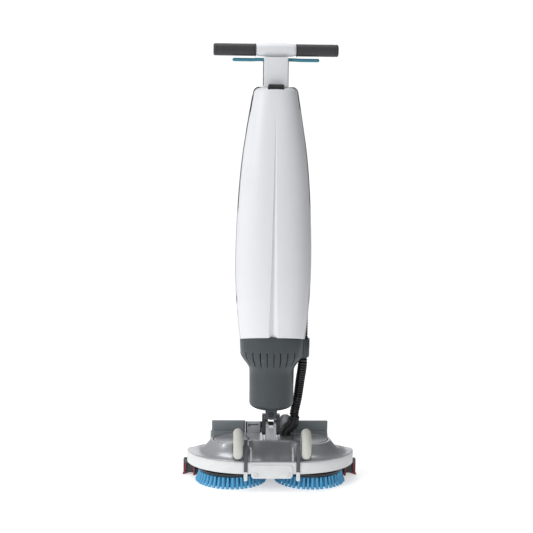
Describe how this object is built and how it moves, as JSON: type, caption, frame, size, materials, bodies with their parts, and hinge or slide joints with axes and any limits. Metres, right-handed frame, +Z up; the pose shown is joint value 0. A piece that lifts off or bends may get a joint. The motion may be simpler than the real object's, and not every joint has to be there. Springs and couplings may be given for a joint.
{
  "type": "floor scrubber machine",
  "caption": "Upright battery floor scrubber: low deck with disc brushes and curved squeegee, a jointed column with water tanks, suction hose and T-handle.",
  "frame": {"origin": "the floor, at the middle of the machine's length and width", "axes": "+Z up along the upright column, -Y the way the machine drives, +X to the left of its user, who stands behind it on +Y"},
  "size_m": [0.4842, 0.337, 1.182],
  "materials": {
    "white_shell": "moulded semi-gloss plastic",
    "white_trim": "moulded plastic",
    "silver_cover": "silver-grey moulded plastic",
    "charcoal_housing": "dark blue-grey moulded plastic",
    "strap_metal": "dark grey powder coat",
    "black_plastic": "black moulded plastic",
    "hose_black": "flexible black hose",
    "grip_rubber": "dark charcoal grip rubber",
    "teal_lever": "teal moulded plastic",
    "wheel_tread": "off-white non-marking tread",
    "blue_hub": "blue moulded plastic",
    "bristle_nylon": "blue nylon tufts",
    "battery_case": "grey moulded plastic",
    "steel": "turned steel",
    "squeegee_rubber": "dark red rubber"
  },
  "bodies": {
    "deck": {"chassis": "charcoal_housing", "deck_cover": "silver_cover", "bumper": "white_trim", "front_plate": "white_trim", "plate_screw_left": "white_trim", "plate_screw_right": "white_trim", "brush_motor_left": "black_plastic", "brush_motor_right": "black_plastic", "dome_cap_left": "silver_cover", "dome_cap_right": "silver_cover", "wheel_bracket_left": "strap_metal", "wheel_bracket_right": "strap_metal", "foot_tab_left": "white_trim", "foot_tab_right": "white_trim", "axle_left": "steel", "axle_right": "steel", "pivot_bracket": "silver_cover", "pitch_pin": "steel", "battery_tray": "silver_cover", "suction_elbow": "black_plastic", "suction_duct": "silver_cover", "squeegee_bellows": "hose_black", "hose_lower": "hose_black"},
    "brush_left": {"brush_block_left": "charcoal_housing", "bristles_left": "bristle_nylon"},
    "brush_right": {"brush_block_right": "charcoal_housing", "bristles_right": "bristle_nylon"},
    "wheel_left": {"wheel_tyre_left": "wheel_tread", "wheel_hub_left": "blue_hub"},
    "wheel_right": {"wheel_tyre_right": "wheel_tread", "wheel_hub_right": "blue_hub"},
    "battery_left": {"battery_left": "battery_case"},
    "battery_right": {"battery_right": "battery_case"},
    "squeegee": {"squeegee_body": "charcoal_housing", "squeegee_blade_front": "squeegee_rubber", "squeegee_blade_rear": "squeegee_rubber"},
    "squeegee_knob_left": {"squeegee_knob_left": "black_plastic"},
    "squeegee_knob_right": {"squeegee_knob_right": "black_plastic"},
    "knuckle": {"knuckle_yoke": "strap_metal", "roll_pin": "steel"},
    "column": {"motor_housing": "charcoal_housing", "vacuum_motor": "black_plastic", "solution_pump": "black_plastic", "spine": "white_shell", "neck_cover": "white_shell", "handle_bar": "steel", "handle_centre": "white_shell", "grip_left": "grip_rubber", "grip_right": "grip_rubber", "control_panel": "charcoal_housing", "hose_upper": "hose_black"},
    "lever_left": {"lever_left": "teal_lever"},
    "lever_right": {"lever_right": "teal_lever"},
    "power_button": {"power_button": "teal_lever"},
    "water_button": {"water_button": "blue_hub"},
    "front_tank": {"front_tank": "white_shell"},
    "filler_cap": {"filler_cap": "blue_hub"},
    "tank_latch": {"tank_latch": "black_plastic"},
    "rear_tank": {"rear_tank": "white_shell"},
    "rear_latch": {"rear_latch": "black_plastic"}
  },
  "joints": [
    {"name": "brush_left_spin", "type": "hinge", "parent": "deck", "child": "brush_left", "pos_m": [0.108, -0.0345, 0.04], "axis": [0, 0, 1], "continuous": true},
    {"name": "wheel_left_roll", "type": "hinge", "parent": "deck", "child": "wheel_left", "pos_m": [0.091, -0.1265, 0.125], "axis": [1, 0, 0], "continuous": true},
    {"name": "battery_left_lift", "type": "slide", "parent": "deck", "child": "battery_left", "axis": [0, 0, 1], "range_m": [0, 0.07]},
    {"name": "squeegee_knob_left_turn", "type": "hinge", "parent": "squeegee", "child": "squeegee_knob_left", "pos_m": [0.09705, 0.12982, 0.054], "axis": [0, 0, 1], "continuous": true},
    {"name": "lever_left_squeeze", "type": "hinge", "parent": "column", "child": "lever_left", "pos_m": [0.033, -0.0365, 1.1395], "axis": [0, -1, 0], "range_deg": [0, 3], "stiffness_Nm_per_rad": 2, "springref_deg": -8.59},
    {"name": "brush_right_spin", "type": "hinge", "parent": "deck", "child": "brush_right", "pos_m": [-0.108, -0.0345, 0.04], "axis": [0, 0, 1], "continuous": true},
    {"name": "wheel_right_roll", "type": "hinge", "parent": "deck", "child": "wheel_right", "pos_m": [-0.091, -0.1265, 0.125], "axis": [1, 0, 0], "continuous": true},
    {"name": "battery_right_lift", "type": "slide", "parent": "deck", "child": "battery_right", "axis": [0, 0, 1], "range_m": [0, 0.07]},
    {"name": "squeegee_knob_right_turn", "type": "hinge", "parent": "squeegee", "child": "squeegee_knob_right", "pos_m": [-0.09705, 0.12982, 0.054], "axis": [0, 0, 1], "continuous": true},
    {"name": "lever_right_squeeze", "type": "hinge", "parent": "column", "child": "lever_right", "pos_m": [-0.033, -0.0365, 1.1395], "axis": [0, 1, 0], "range_deg": [0, 3], "stiffness_Nm_per_rad": 2, "springref_deg": -8.59},
    {"name": "squeegee_lift", "type": "slide", "parent": "deck", "child": "squeegee", "axis": [0, 0, 1], "range_m": [0, 0.006], "deforming": ["squeegee_bellows"]},
    {"name": "handle_lean", "type": "hinge", "parent": "deck", "child": "knuckle", "pos_m": [0, -0.0345, 0.138], "axis": [1, 0, 0], "range_deg": [-45, 0], "deforming": ["hose_lower"]},
    {"name": "handle_steer", "type": "hinge", "parent": "knuckle", "child": "column", "pos_m": [0, -0.0345, 0.187], "axis": [0, 1, 0], "range_deg": [-25, 25], "deforming": ["hose_upper"]},
    {"name": "front_tank_tilt", "type": "hinge", "parent": "column", "child": "front_tank", "pos_m": [0, -0.1062, 0.415], "axis": [1, 0, 0], "range_deg": [0, 20]},
    {"name": "filler_cap_turn", "type": "hinge", "parent": "front_tank", "child": "filler_cap", "pos_m": [-0.04, -0.06, 0.905], "axis": [0, 1, 0], "range_deg": [0, 90]},
    {"name": "tank_latch_press", "type": "slide", "parent": "front_tank", "child": "tank_latch", "axis": [0, 0, -1], "range_m": [0, 0.002], "stiffness_N_per_m": 600, "springref_m": -0.002},
    {"name": "rear_tank_tilt", "type": "hinge", "parent": "column", "child": "rear_tank", "pos_m": [0, 0.0515, 0.395], "axis": [-1, 0, 0], "range_deg": [0, 20]},
    {"name": "rear_latch_press", "type": "slide", "parent": "rear_tank", "child": "rear_latch", "axis": [0, 0, -1], "range_m": [0, 0.002], "stiffness_N_per_m": 600, "springref_m": -0.002},
    {"name": "power_button_press", "type": "slide", "parent": "column", "child": "power_button", "axis": [0, -1, 0], "range_m": [0, 0.002], "stiffness_N_per_m": 400, "springref_m": -0.001},
    {"name": "water_button_press", "type": "slide", "parent": "column", "child": "water_button", "axis": [0, -1, 0], "range_m": [0, 0.002], "stiffness_N_per_m": 400, "springref_m": -0.001}
  ]
}
